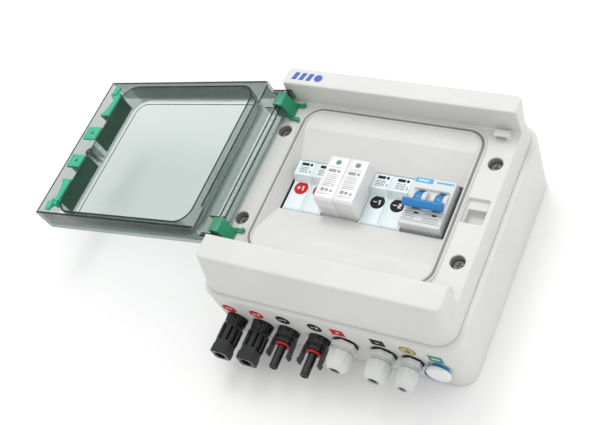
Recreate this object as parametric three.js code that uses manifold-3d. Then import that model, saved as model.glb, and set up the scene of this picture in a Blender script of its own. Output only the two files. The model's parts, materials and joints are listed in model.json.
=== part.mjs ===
// DC combiner box: a plastic wall enclosure that lies on its back, with its clear door open to the left.
// Millimetres. X to the right, Y towards the top of the box, Z out of the front. The origin is the
// centre of the flat back face.
import * as THREE from 'three';
import { mergeVertices } from 'three/addons/utils/BufferGeometryUtils.js';
import Module from 'manifold-3d';

const wasm = await Module();
wasm.setup();

// ---------------------------------------------------------------- driving dimensions
const GAP = 0.3; // free space between touching pieces

// Outlines seen from the front, one per height: the four edges and the radius of the corners.
const BASE_BACK = { left: -110.5, right: 117.5, low: -113.5, high: 94, corner: 14 };
const BASE_FRONT = { left: -111, right: 118, low: -116.25, high: 96.75, corner: 16 };
const BASE_TOP = 64; // depth of the base
const BASE_WALL = 3.2;
const BASE_RIM = 13; // width of the thickened rim that carries the cover

const FACE = 78; // front face of the cover
const COVER_BOTTOM = BASE_TOP + GAP;
const COVER_FOOT = { left: -109, right: 113.5, low: -112.5, high: 96, corner: 16 };
const COVER_SHOULDER = { left: -107.5, right: 109.5, low: -109.5, high: 96.5, corner: 11 };
const COVER_FACE = { left: -107, right: 108.3, low: -108.7, high: 96.6, corner: 10 };
const COVER_BROW = { left: -105.5, right: 107.8, low: -102.3, high: 97.4, corner: 5 };
const COVER_WALL = 2.5;
const BROW_TOP = 103; // highest point of the box
const BROW_INNER_Y = 79.5; // brows stand above and below this
const BROW_EDGE = 1.5; // radius of the brows' long edges

const WINDOW_LEFT = -74.2;
const WINDOW_RIGHT = 75;
const WINDOW_LOW = -24.5;
const WINDOW_HIGH = 26;
const VALLEY_HALF_X = 79.5; // the slopes that lead down to the window
const VALLEY_HALF_Y = 53.5;
const VALLEY_DEPTH = 10;
const SEAL_HALF_X = 82.6; // centre line of the door's sealing edge
const SEAL_HALF_Y = 73.5;
const SEAL_CORNER = 16;

const SCREW_X = 97;
const SCREW_Y = 46.25;
const RECESS_RADIUS = 6.3; // recess over each cover screw
const RECESS_FLOOR = 68;

const HINGE_X = -105.4;
const HINGE_Z = FACE + 14.3;
const HINGE_ROD = 2.4;
const CLIP_LOW = 60; // a hinge clip spans these heights, mirrored below
const CLIP_HIGH = 73;
const OPEN_ANGLE = 191; // how far the door stands open

const DOOR_LEFT = -112;
const DOOR_RIGHT = 105.4;
const DOOR_HALF_Y = 78.4;
const DOOR_RIM = FACE + 0.4;
const DOOR_FRONT = FACE + 24.5;
const DOOR_WALL = 1.9;
const DOOR_HINGE_WALL = -93; // the tray's wall on the hinge side
const DOOR_STRIP = FACE + 12.5; // underside of the strip that carries the hinge rod

const MODULE = 18; // pitch of the DIN modules
const ROW_LEFT = -71.5;
const ROW_Y = 0.5;
const RAIL_Z = 30; // front of the rail's lips
const SHOULDER_Z = 62;
const RAIL_HALF_X = 88;
const RAIL_SCREW_X = 80;

const PV_Z = 27; // height of the solar connectors' axes
const GLAND_Z = 31.5; // height of the glands' axes
const SEAT_Y = -114.2; // flat seats on the bottom wall
const SOCKET_X = [-89, -63.5];
const PLUG_X = [-38.5, -9.5];
const GLANDS = [
  { x: 15.5, hex: 11, neck: 8.6, nut: 11.6, bore: 4.6, thread: 8 },
  { x: 49.5, hex: 11, neck: 8.6, nut: 11.6, bore: 4.6, thread: 8 },
  { x: 74.3, hex: 9.2, neck: 7, nut: 9.8, bore: 3.7, thread: 6.4 },
];
const VENT_X = 97.3;

// ---------------------------------------------------------------- materials
const LOOKS = {
  shell: { color: 0xe4e5e2, roughness: 0.45, metalness: 0 },
  device: { color: 0xe2eaec, roughness: 0.5, metalness: 0 },
  breaker: { color: 0xdfe1e0, roughness: 0.5, metalness: 0 },
  smoke: { color: 0x8a9893, roughness: 0.12, metalness: 0 },
  green: { color: 0x23945f, roughness: 0.45, metalness: 0 },
  blue: { color: 0x1f7fc8, roughness: 0.4, metalness: 0 },
  black: { color: 0x1d2020, roughness: 0.5, metalness: 0 },
  rubber: { color: 0x242626, roughness: 0.8, metalness: 0 },
  red: { color: 0xc0242c, roughness: 0.6, metalness: 0 },
  white: { color: 0xf0f1f2, roughness: 0.4, metalness: 0 },
  steel: { color: 0xb9bcbd, roughness: 0.35, metalness: 0.9 },
  copper: { color: 0xc4784a, roughness: 0.35, metalness: 0.9 },
  brass: { color: 0xc9a65a, roughness: 0.35, metalness: 0.9 },
  ceramic: { color: 0xe9e3d4, roughness: 0.6, metalness: 0 },
};

// ---------------------------------------------------------------- solids
const X_AXIS = new THREE.Vector3(1, 0, 0);
const Y_AXIS = new THREE.Vector3(0, 1, 0);
const Z_AXIS = new THREE.Vector3(0, 0, 1);

/** Turn a closed three.js geometry into a solid, leaving out triangles of no area. */
function solid(geometry) {
  const bare = geometry.clone();
  bare.deleteAttribute('normal');
  bare.deleteAttribute('uv');
  const merged = mergeVertices(bare, 1e-4);
  const kept = [];
  const index = merged.index.array;
  for (let i = 0; i < index.length; i += 3) {
    const [a, b, c] = [index[i], index[i + 1], index[i + 2]];
    if (a !== b && b !== c && c !== a) {
      kept.push(a, b, c);
    }
  }
  return new wasm.Manifold(
    new wasm.Mesh({
      numProp: 3,
      vertProperties: new Float32Array(merged.attributes.position.array),
      triVerts: new Uint32Array(kept),
    }),
  );
}

const join = (...bodies) => bodies.reduce((whole, body) => whole.add(body));
const cut = (body, ...tools) => tools.reduce((left, tool) => left.subtract(tool), body);

function box(x0, x1, y0, y1, z0, z1) {
  const geometry = new THREE.BoxGeometry(x1 - x0, y1 - y0, z1 - z0);
  geometry.translate((x0 + x1) / 2, (y0 + y1) / 2, (z0 + z1) / 2);
  return solid(geometry);
}

/** A rectangle with round corners, from its half sizes. */
function roundRect(halfX, halfY, radius, cx = 0, cy = 0) {
  const shape = new THREE.Shape();
  const dx = halfX - radius;
  const dy = halfY - radius;
  shape.absarc(cx + dx, cy + dy, radius, 0, Math.PI / 2);
  shape.absarc(cx - dx, cy + dy, radius, Math.PI / 2, Math.PI);
  shape.absarc(cx - dx, cy - dy, radius, Math.PI, 1.5 * Math.PI);
  shape.absarc(cx + dx, cy - dy, radius, 1.5 * Math.PI, 2 * Math.PI);
  return shape;
}

const outline = (points) => new THREE.Shape(points.map(([a, b]) => new THREE.Vector2(a, b)));

function extrusion(shape, depth, curveSegments = 6) {
  return new THREE.ExtrudeGeometry(shape, { depth, bevelEnabled: false, curveSegments });
}

/** An XY outline carried from z0 up to z1. */
function prismZ(shape, z0, z1, curveSegments) {
  return solid(extrusion(shape, z1 - z0, curveSegments).translate(0, 0, z0));
}

/** A YZ outline carried along X. */
function prismX(shape, x0, x1, curveSegments) {
  const geometry = extrusion(shape, x1 - x0, curveSegments);
  geometry.applyMatrix4(new THREE.Matrix4().makeBasis(Y_AXIS, Z_AXIS, X_AXIS));
  return solid(geometry.translate(x0, 0, 0));
}

/** An XZ outline carried along Y. */
function prismY(shape, y0, y1, curveSegments) {
  const geometry = extrusion(shape, y1 - y0, curveSegments);
  geometry.applyMatrix4(new THREE.Matrix4().makeBasis(X_AXIS, Z_AXIS, Y_AXIS.clone().negate()));
  return solid(geometry.translate(0, y1, 0));
}

/** An outline drawn in by a margin on every side. */
function inset(outer, margin) {
  return {
    left: outer.left + margin,
    right: outer.right - margin,
    low: outer.low + margin,
    high: outer.high - margin,
    corner: Math.max(outer.corner - margin, 2),
  };
}

/** The outline a share of the way from one outline to another. */
function between(first, second, share) {
  const mix = (key) => first[key] + (second[key] - first[key]) * share;
  return {
    left: mix('left'), right: mix('right'), low: mix('low'), high: mix('high'), corner: mix('corner'),
  };
}

const UNIT_FLAT = 1e-4; // half the straight side of the unit outline, which is nearly all corner

/** Carry a coordinate of the unit outline to the span from start to end. */
function carry(value, start, end, corner) {
  return value > 0
    ? end - corner + (value - UNIT_FLAT) * corner
    : start + corner + (value + UNIT_FLAT) * corner;
}

/** A block with round corners that passes evenly from one outline to another. */
function tapered(foot, top, z0, z1, curveSegments = 4) {
  const unit = roundRect(1 + UNIT_FLAT, 1 + UNIT_FLAT, 1);
  const geometry = extrusion(unit, z1 - z0, curveSegments);
  const place = geometry.attributes.position;
  for (let i = 0; i < place.count; i += 1) {
    const { left, right, low, high, corner } = place.getZ(i) > 0 ? top : foot;
    place.setX(i, carry(place.getX(i), left, right, corner));
    place.setY(i, carry(place.getY(i), low, high, corner));
  }
  return solid(geometry.translate(0, 0, z0));
}

/** A cylinder, or a cone from r0 to r1, along Y from y0 to y1. */
function roundY(x, z, r0, y0, y1, sides = 16, r1 = r0) {
  const geometry = new THREE.CylinderGeometry(r1, r0, y1 - y0, sides);
  return solid(geometry.translate(x, (y0 + y1) / 2, z));
}

function roundZ(x, y, radius, z0, z1, sides = 16) {
  const geometry = new THREE.CylinderGeometry(radius, radius, z1 - z0, sides);
  geometry.rotateX(Math.PI / 2);
  return solid(geometry.translate(x, y, (z0 + z1) / 2));
}

function roundX(y, z, radius, x0, x1, sides = 20) {
  const geometry = new THREE.CylinderGeometry(radius, radius, x1 - x0, sides);
  geometry.rotateZ(Math.PI / 2);
  return solid(geometry.translate((x0 + x1) / 2, y, z));
}

/** A profile of [radius, y] points turned about the Y direction through x, z. */
function turnedY(x, z, profile, sides = 16) {
  const points = profile.map(([r, y]) => new THREE.Vector2(r, y));
  if (THREE.ShapeUtils.isClockWise(points)) {
    points.reverse();
  }
  if (points[0].x > 0) {
    points.push(points[0].clone());
  }
  return solid(new THREE.LatheGeometry(points, sides).translate(x, 0, z));
}

/** A frame between two outlines. */
function rim(outer, inner, z0, z1) {
  return cut(tapered(outer, outer, z0, z1), tapered(inner, inner, z0 - 1, z1 + 1));
}

/** A frame with round corners: the wall between two rounded rectangles. */
function frameZ(halfX, halfY, wall, radius, z0, z1, curveSegments = 4) {
  const half = wall / 2;
  return cut(
    prismZ(roundRect(halfX + half, halfY + half, radius + half), z0, z1, curveSegments),
    prismZ(roundRect(halfX - half, halfY - half, radius - half), z0 - 1, z1 + 1, curveSegments),
  );
}

const mirrorY = (body) => body.mirror([0, 1, 0]);

// ---------------------------------------------------------------- the group
const group = new THREE.Group();
const door = new THREE.Group();
const hinge = new THREE.Group();
hinge.position.set(HINGE_X, 0, HINGE_Z);
hinge.rotation.y = THREE.MathUtils.degToRad(-OPEN_ANGLE);
door.position.set(-HINGE_X, 0, -HINGE_Z);
hinge.add(door);
group.add(hinge);

/** Add a solid to a group as a named mesh. */
function part(name, body, look, parent = group) {
  const { vertProperties, triVerts } = body.getMesh();
  const geometry = new THREE.BufferGeometry();
  geometry.setAttribute('position', new THREE.BufferAttribute(vertProperties, 3));
  geometry.setIndex(new THREE.BufferAttribute(triVerts, 1));
  geometry.computeVertexNormals();
  const mesh = new THREE.Mesh(geometry, new THREE.MeshStandardMaterial(LOOKS[look]));
  mesh.name = name;
  parent.add(mesh);
}

const corners = [];
for (const [side, x] of [['left', -1], ['right', 1]]) {
  for (const [end, y] of [['upper', 1], ['lower', -1]]) {
    corners.push({ name: `${end}_${side}`, x: x * SCREW_X, y: y * SCREW_Y });
  }
}

// ---------------------------------------------------------------- base
function baseShell() {
  const floor = 3.5;
  const inner = (z) => inset(between(BASE_BACK, BASE_FRONT, z / BASE_TOP), BASE_WALL);
  const mouth = inset(BASE_FRONT, BASE_RIM);
  const rimStart = BASE_TOP - 15;
  const rimFull = BASE_TOP - 6;
  let body = tapered(BASE_BACK, BASE_FRONT, 0, BASE_TOP);
  body = cut(
    body,
    tapered(inner(floor), inner(rimStart), floor, rimStart),
    tapered(inner(rimStart), mouth, rimStart, rimFull),
    tapered(mouth, mouth, rimFull, BASE_TOP + 1),
  );
  const bossFoot = floor - 1;
  for (const { x, y } of corners) {
    body = join(body, roundZ(x, y, 6, bossFoot, BASE_TOP));
    body = cut(body, roundZ(x, y, 2.3, 30, BASE_TOP + 1, 12));
  }
  for (const side of [-1, 1]) {
    body = join(body, roundZ(side * RAIL_SCREW_X, ROW_Y, 6, bossFoot, RAIL_Z - 7.5 - GAP, 12));
    body = cut(body, roundZ(side * RAIL_SCREW_X, ROW_Y, 1.8, 10, RAIL_Z, 8));
    body = join(body, box(93, 101, side * 22 - 5, side * 22 + 5, bossFoot, 10));
  }
  for (const x of [-96, 96]) {
    for (const y of [-92, 80]) {
      body = join(body, roundZ(x, y, 5.5, bossFoot, 7, 12));
      body = cut(body, roundZ(x, y, 2.2, -1, 8, 8));
    }
  }
  const holes = [
    ...[...SOCKET_X, ...PLUG_X].map((x) => ({ x, z: PV_Z, hole: 6.3, seat: 10.6 })),
    ...GLANDS.map(({ x, thread, hex }) => ({ x, z: GLAND_Z, hole: thread + GAP, seat: hex + 2 })),
    { x: VENT_X, z: GLAND_Z, hole: 5.3, seat: 10.4 },
  ];
  for (const { x, z, hole, seat } of holes) {
    body = cut(body, roundY(x, z, seat, SEAT_Y - 6, SEAT_Y), roundY(x, z, hole, -125, -105));
  }
  part('base_shell', body, 'shell');
}

// ---------------------------------------------------------------- cover
/** The slopes around the window, from the face down to the window's edge. */
function valleyCut() {
  const foot = FACE - VALLEY_DEPTH;
  const slopes = outline([
    [-VALLEY_HALF_Y, FACE], [WINDOW_LOW - 1, foot], [WINDOW_HIGH + 1, foot], [VALLEY_HALF_Y, FACE],
    [VALLEY_HALF_Y, FACE + 1], [-VALLEY_HALF_Y, FACE + 1],
  ]);
  const sides = outline([
    [-VALLEY_HALF_X, FACE], [WINDOW_LEFT - 0.5, foot], [WINDOW_RIGHT + 0.5, foot], [VALLEY_HALF_X, FACE],
    [VALLEY_HALF_X, FACE + 1], [-VALLEY_HALF_X, FACE + 1],
  ]);
  return prismX(slopes, -90, 90).intersect(prismY(sides, -60, 60));
}

function coverShell() {
  const under = FACE - COVER_WALL;
  const layers = [
    { z: COVER_BOTTOM, shape: COVER_FOOT },
    { z: FACE - 2, shape: COVER_SHOULDER },
    { z: FACE + 1, shape: COVER_FACE },
    { z: BROW_TOP - BROW_EDGE, shape: COVER_BROW },
  ];
  for (const angle of [45, 90]) {
    const turn = THREE.MathUtils.degToRad(angle);
    layers.push({
      z: BROW_TOP - BROW_EDGE * (1 - Math.sin(turn)),
      shape: inset(COVER_BROW, BROW_EDGE * (1 - Math.cos(turn))),
    });
  }
  let body = null;
  for (let i = 1; i < layers.length; i += 1) {
    const [low, high] = [layers[i - 1], layers[i]];
    const layer = tapered(low.shape, high.shape, low.z, high.z);
    body = body ? join(body, layer) : layer;
  }
  body = cut(body, box(-130, 130, -BROW_INNER_Y, BROW_INNER_Y, FACE, BROW_TOP + 1));
  const lip = BROW_EDGE;
  const softEdge = new THREE.Shape();
  softEdge.moveTo(BROW_INNER_Y - 1, BROW_TOP + 1);
  softEdge.lineTo(BROW_INNER_Y - 1, BROW_TOP - lip);
  softEdge.lineTo(BROW_INNER_Y, BROW_TOP - lip);
  softEdge.absarc(BROW_INNER_Y + lip, BROW_TOP - lip, lip, Math.PI, Math.PI / 2, true);
  softEdge.lineTo(BROW_INNER_Y + lip, BROW_TOP + 1);
  const edgeCut = prismX(softEdge, -120, 120, 4);
  body = cut(body, edgeCut, mirrorY(edgeCut));
  // hollow inside
  const wall = COVER_WALL;
  body = cut(
    body,
    tapered(inset(COVER_FOOT, 3.5), inset(COVER_SHOULDER, wall), COVER_BOTTOM - 1, under),
  );
  const browHollow = tapered(
    inset(COVER_SHOULDER, wall + 0.5), inset(COVER_BROW, wall), under - 0.01, BROW_TOP - 3.5,
  ).subtract(box(-130, 130, -BROW_INNER_Y - wall, BROW_INNER_Y + wall, under - 1, BROW_TOP));
  body = cut(body, browHollow);
  // valley with its window
  const skin = VALLEY_DEPTH + COVER_WALL;
  body = join(body, box(-82, 82, -57, 57, FACE - skin, under + 1));
  const underSlope = prismX(
    outline([[WINDOW_HIGH + 1, FACE - skin - 1], [WINDOW_HIGH + 1, FACE - skin], [55, under],
      [58, under], [58, FACE - skin - 1]]),
    -90, 90,
  );
  body = cut(body, underSlope, mirrorY(underSlope), valleyCut());
  body = cut(body, box(WINDOW_LEFT, WINDOW_RIGHT, WINDOW_LOW, WINDOW_HIGH, 50, FACE));
  // twin ridges that hold the door's seal
  const ridge = (offset) => frameZ(
    SEAL_HALF_X + offset, SEAL_HALF_Y + offset, 1.4, SEAL_CORNER + offset, FACE - 0.5, FACE + 2.2,
  );
  body = join(body, ridge(1.9), ridge(-1.9));
  // screw towers
  for (const { x, y } of corners) {
    body = join(body, roundZ(x, y, RECESS_RADIUS + 2.4, RECESS_FLOOR - 1.5, FACE - 0.5));
    body = cut(body, roundZ(x, y, RECESS_RADIUS, RECESS_FLOOR, FACE + 1));
    body = cut(body, roundZ(x, y, 2.4, RECESS_FLOOR - 4, RECESS_FLOOR + 1, 12));
  }
  // latch pocket: a shallow ledge over a deeper finger well
  body = join(body, box(84.5, 106.3, -13, 13.5, FACE - 11.5, FACE - 1));
  body = cut(body, box(86.5, 104.5, -11, 11.5, FACE - 3, FACE + 1));
  body = cut(body, box(88.5, 104.5, -11, 3, FACE - 9.5, FACE + 1));
  // bridges that the latch tongues slide under
  const bridge = cut(
    box(88, 101, 69.5, 76, FACE - 0.5, FACE + 5.7),
    box(90, 99, 68, 78, FACE, FACE + 3.7),
  );
  body = join(body, bridge, mirrorY(bridge));
  // peg holes for the hinge clips
  for (const side of [-1, 1]) {
    body = cut(body, roundZ(-100.5, (side * (CLIP_LOW + CLIP_HIGH)) / 2, 2.3, under - 1, FACE + 1, 12));
  }
  part('front_cover', body, 'shell');
}

function seals() {
  const gasket = rim(inset(COVER_FOOT, 6.2), inset(COVER_FOOT, 8.2), BASE_TOP + GAP, BASE_TOP + 2.2);
  part('cover_gasket', gasket, 'rubber');
  part('window_seal', frameZ(SEAL_HALF_X, SEAL_HALF_Y, 1.8, SEAL_CORNER, FACE + GAP, FACE + 1, 4), 'rubber');
}

function coverScrews() {
  for (const { name, x, y } of corners) {
    const head = roundZ(x, y, 4.6, RECESS_FLOOR + GAP, RECESS_FLOOR + 4, 16);
    const slot = join(
      box(x - 3, x + 3, y - 0.6, y + 0.6, RECESS_FLOOR + 2.2, RECESS_FLOOR + 5),
      box(x - 0.6, x + 0.6, y - 3, y + 3, RECESS_FLOOR + 2.2, RECESS_FLOOR + 5),
    );
    const shank = roundZ(x, y, 2, RECESS_FLOOR - 22, RECESS_FLOOR + 1, 8);
    part(`cover_screw_${name}`, cut(join(head, shank), slot), 'steel');
  }
}

// ---------------------------------------------------------------- hinge clips and door
function hingeClips() {
  const left = HINGE_X - 4.2;
  const foot = FACE + GAP;
  const wedge = outline([
    [left, foot], [-94.5, foot], [-94.5, foot + 2.5], [-100.8, FACE + 18.6], [left + 1, FACE + 18.6],
    [left, FACE + 17.6],
  ]);
  const middle = (CLIP_LOW + CLIP_HIGH) / 2;
  const bore = roundY(HINGE_X, HINGE_Z, HINGE_ROD + 0.35, CLIP_LOW - 1, CLIP_HIGH + 1, 20);
  let body = cut(prismY(wedge, CLIP_LOW, CLIP_HIGH), bore);
  for (const [side, edge] of [[-1, CLIP_LOW], [1, CLIP_HIGH]]) {
    const far = edge + side * 2.2;
    const [y0, y1] = [Math.min(edge - side, far), Math.max(edge - side, far)];
    body = join(body, box(-97, -88.5, y0, y1, foot, foot + 1.9));
    body = join(body, roundZ(-89, far - side * 0.6, 1.6, foot, foot + 2.9, 12));
  }
  body = join(body, roundZ(-100.5, middle, 1.9, FACE - 4, foot + 1, 12));
  part('hinge_clip_upper', body, 'green');
  part('hinge_clip_lower', mirrorY(body), 'green');
}

function doorPanel() {
  const corner = 3;
  const profile = new THREE.Shape();
  profile.moveTo(DOOR_HINGE_WALL, DOOR_RIM);
  profile.lineTo(DOOR_RIGHT, DOOR_RIM);
  profile.absarc(DOOR_RIGHT - corner, DOOR_FRONT - corner, corner, 0, Math.PI / 2);
  profile.absarc(DOOR_LEFT + corner, DOOR_FRONT - corner, corner, Math.PI / 2, Math.PI);
  profile.lineTo(DOOR_LEFT, DOOR_STRIP);
  profile.lineTo(DOOR_HINGE_WALL, DOOR_STRIP);
  const roof = DOOR_FRONT - DOOR_WALL;
  const inside = DOOR_HALF_Y - DOOR_WALL;
  let body = prismY(profile, -DOOR_HALF_Y, DOOR_HALF_Y, 4);
  body = cut(
    body,
    box(DOOR_HINGE_WALL + DOOR_WALL, DOOR_RIGHT - DOOR_WALL, -inside, inside, FACE - 1, roof),
    box(DOOR_LEFT + DOOR_WALL, DOOR_HINGE_WALL, -inside, inside, DOOR_STRIP - 1, roof),
  );
  const ring = frameZ(SEAL_HALF_X, SEAL_HALF_Y, 1.8, SEAL_CORNER, FACE + 1.4, roof + 0.5);
  body = join(body, ring);
  // cheeks beside each hinge clip carry the rod
  const rod = roundY(HINGE_X, HINGE_Z, HINGE_ROD, -inside - 0.5, inside + 0.5, 20);
  for (const side of [-1, 1]) {
    for (const y of [CLIP_LOW - 2.6, CLIP_HIGH + 1.4]) {
      const [y0, y1] = [side * y, side * (y + 1.2)].sort((a, b) => a - b);
      body = join(body, box(DOOR_LEFT + 0.5, DOOR_HINGE_WALL + 0.5, y0, y1, DOOR_STRIP, roof + 0.5));
    }
    const [low, high] = [side * (CLIP_LOW - 1), side * (CLIP_HIGH + 1)].sort((a, b) => a - b);
    body = cut(body, box(DOOR_LEFT - 1, DOOR_HINGE_WALL - 0.2, low, high, FACE, DOOR_FRONT + 1));
    const [armLow, armHigh] = [side * (CLIP_LOW - 3.4), side * (CLIP_HIGH + 3.3)].sort((a, b) => a - b);
    body = cut(body, box(DOOR_HINGE_WALL - 2, DOOR_HINGE_WALL + 3, armLow, armHigh, FACE, FACE + 4));
  }
  body = join(body, rod);
  // lead-seal boss between two ribs at the free edge
  body = join(body, roundZ(94, 0, 4.2, FACE + 9, roof + 0.5, 16));
  const rib = outline([[84, roof + 0.5], [84, FACE + 4], [86, FACE + 4], [103, roof - 4], [104, roof + 0.5]]);
  for (const side of [-1, 1]) {
    body = join(body, prismY(rib, side * 2.8 - 0.6, side * 2.8 + 0.6));
  }
  body = cut(body, roundZ(94, 0, 1.7, FACE, DOOR_FRONT + 1, 12));
  part('door', body, 'smoke', door);
}

function latches() {
  const rim = FACE + 1.2;
  const web = 84.2; // the deep wall beside the door's sealing wall
  const grab = 85.8; // the parts at the rim start here, clear of the cover's ridges
  const grip = new THREE.Shape();
  grip.moveTo(grab, 38);
  grip.lineTo(97.5, 38);
  grip.quadraticCurveTo(91.5, 46, 91.5, 58);
  grip.absarc(89.3, 60.3, 2.2, 0, Math.PI / 2);
  grip.lineTo(grab, 62.5);
  let body = join(
    box(web, grab + 0.4, 9, 62.5, FACE + 3.2, FACE + 20.5),
    box(grab, 102.7, 9.5, 23.5, rim, rim + 2.6),
    box(grab, 98, 21.5, 23.5, rim, FACE + 14),
    box(web, 93, 22, 40, FACE + 8, FACE + 10.4),
    box(grab, 97, 38, 40, rim, FACE + 12),
    prismZ(grip, rim, rim + 4, 5),
    box(grab, 95, 60, 62.5, rim, FACE + 8),
    box(88, 97.5, 62, 65.2, rim + 0.6, FACE + 8),
    box(91.5, 97.5, 64, 73, FACE + 0.7, FACE + 3.2),
    roundZ(89.5, 65, 2, rim + 0.6, FACE + 8, 12),
    roundZ(98.2, 65, 2, rim + 0.6, FACE + 8, 12),
  );
  body = cut(body, roundZ(93.5, 16.5, 1.6, FACE, FACE + 8, 12));
  part('latch_upper', body, 'green', door);
  part('latch_lower', mirrorY(body), 'green', door);
}

// ---------------------------------------------------------------- rail and devices
function dinRail() {
  const profile = outline([
    [-17.5, RAIL_Z], [-12.5, RAIL_Z], [-12.5, RAIL_Z - 6.5], [12.5, RAIL_Z - 6.5], [12.5, RAIL_Z],
    [17.5, RAIL_Z], [17.5, RAIL_Z - 1], [13.5, RAIL_Z - 1], [13.5, RAIL_Z - 7.5],
    [-13.5, RAIL_Z - 7.5], [-13.5, RAIL_Z - 1], [-17.5, RAIL_Z - 1],
  ].map(([y, z]) => [y + ROW_Y, z]));
  let body = prismX(profile, -RAIL_HALF_X, RAIL_HALF_X);
  for (const [name, x] of [['left', -RAIL_SCREW_X], ['right', RAIL_SCREW_X]]) {
    body = cut(body, roundZ(x, ROW_Y, 1.9, RAIL_Z - 9, RAIL_Z, 12));
    const head = roundZ(x, ROW_Y, 3.4, RAIL_Z - 6.5 + GAP, RAIL_Z - 4.2, 16);
    part(`rail_screw_${name}`, join(head, roundZ(x, ROW_Y, 1.5, 12, RAIL_Z - 5, 12)), 'steel');
  }
  part('din_rail', body, 'steel');
}

/** The side outline of a rail device's body: feet that grip the rail, shoulders and a nose. */
function deviceBody(noseLow, noseHigh, noseZ, x0, x1) {
  const back = RAIL_Z + GAP;
  const profile = outline([
    [-40, back], [-21, back], [-21, RAIL_Z - 3], [-16.5, RAIL_Z - 3], [-16.5, RAIL_Z - 1 - GAP],
    [-17.5 - GAP, RAIL_Z - 1 - GAP], [-17.5 - GAP, back], [17.5 + GAP, back],
    [17.5 + GAP, RAIL_Z - 1 - GAP], [16.5, RAIL_Z - 1 - GAP], [16.5, RAIL_Z - 3], [21, RAIL_Z - 3],
    [21, back], [40, back], [40, SHOULDER_Z], [noseHigh - ROW_Y, SHOULDER_Z],
    [noseHigh - ROW_Y, noseZ], [noseLow - ROW_Y, noseZ], [noseLow - ROW_Y, SHOULDER_Z],
    [-40, SHOULDER_Z],
  ].map(([y, z]) => [y + ROW_Y, z]));
  return prismX(profile, x0, x1);
}

/** Terminal mouths at both ends of a device, and the screw wells over them. */
function terminals(body, centre) {
  let left = body;
  for (const side of [-1, 1]) {
    const [y0, y1] = [side * 31, side * 42].sort((a, b) => a - b);
    left = cut(left, box(centre - 4, centre + 4, y0 + ROW_Y, y1 + ROW_Y, 40, 49));
    left = cut(left, roundZ(centre, side * 34.5 + ROW_Y, 3.2, 47, SHOULDER_Z + 1, 8));
  }
  return left;
}

function fuseHolder(name, slot) {
  const x0 = ROW_LEFT + slot * MODULE + 0.15;
  const x1 = x0 + MODULE - 0.3;
  const centre = (x0 + x1) / 2;
  const front = FACE - 10;
  const label = FACE - 3;
  const low = -24.2;
  const heel = 2.4; // the drawer's lower end is round about its pivot
  const pivot = { y: low + heel, z: front - heel };
  const reach = 43.8;
  const back = 47;
  /** The drawer's side outline, grown by a margin: a round end lets it swing out. */
  const drawer = (grow, top) => {
    const shape = new THREE.Shape();
    const radius = reach + grow;
    const high = Math.asin((label + top - pivot.z) / radius);
    const deep = Math.asin((back - grow - pivot.z) / radius);
    shape.moveTo(3.4, front + top);
    if (top > 0) {
      shape.lineTo(low - grow, front + top);
    } else {
      shape.lineTo(pivot.y, front);
      shape.absarc(pivot.y, pivot.z, heel, Math.PI / 2, Math.PI);
    }
    shape.lineTo(low - grow, back - grow);
    shape.absarc(pivot.y, pivot.z, radius, deep, high);
    shape.lineTo(7, label + top);
    return shape;
  };
  let base = deviceBody(low + 0.2, 24.2, SHOULDER_Z + 1, x0, x1);
  const cheek = new THREE.Shape();
  cheek.moveTo(low + 0.1, SHOULDER_Z);
  cheek.lineTo(21, SHOULDER_Z);
  cheek.lineTo(21, label - GAP);
  cheek.lineTo(7, label - GAP);
  cheek.lineTo(3.4, front - GAP);
  cheek.lineTo(low + 0.1, front - GAP);
  base = join(base, prismX(cheek, x0, x1));
  base = cut(base, prismX(drawer(GAP, 5), x0 + 1.4, x1 - 1.4, 8));
  part(`fuse_base_${name}`, terminals(base, centre), 'device');

  const cartridge = { z: 57, radius: 5.1, half: 19 };
  let handle = prismX(drawer(0, 0), x0 + 1.7, x1 - 1.7, 8);
  const roomRadius = cartridge.radius + GAP;
  const room = cartridge.half + GAP;
  handle = cut(
    handle,
    roundY(centre, cartridge.z, roomRadius, -room, room, 14),
    box(centre - roomRadius, centre + roomRadius, -room, room, back - 1, cartridge.z),
  );
  part(`fuse_drawer_${name}`, handle, 'device');
  part(
    `fuse_link_${name}`,
    roundY(centre, cartridge.z, cartridge.radius, -cartridge.half, cartridge.half, 14),
    'ceramic',
  );
}

function surgeProtector() {
  const x0 = ROW_LEFT + 2 * MODULE + 0.15;
  const x1 = x0 + 2 * MODULE - 0.3;
  const seat = 50;
  let base = deviceBody(-24, 25, SHOULDER_Z + 3, x0, x1);
  base = cut(base, box(x0 - 1, x1 + 1, -21.8, 22.3, seat, FACE));
  ['positive', 'negative'].forEach((pole, i) => {
    const centre = x0 + (x1 - x0) * (0.25 + 0.5 * i);
    base = terminals(base, centre);
    const half = (x1 - x0) / 4 - 0.15;
    const side = outline([
      [-21.5, seat + GAP], [22, seat + GAP], [22, FACE + 11], [20, FACE + 13], [-19.5, FACE + 13],
      [-21.5, FACE + 11],
    ]);
    const window = roundZ(centre, 15.5, 2.6, FACE + 12.4, FACE + 14, 16);
    part(`surge_module_${pole}`, cut(prismX(side, centre - half, centre + half), window), 'white');
  });
  part('surge_base', base, 'white');
}

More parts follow.
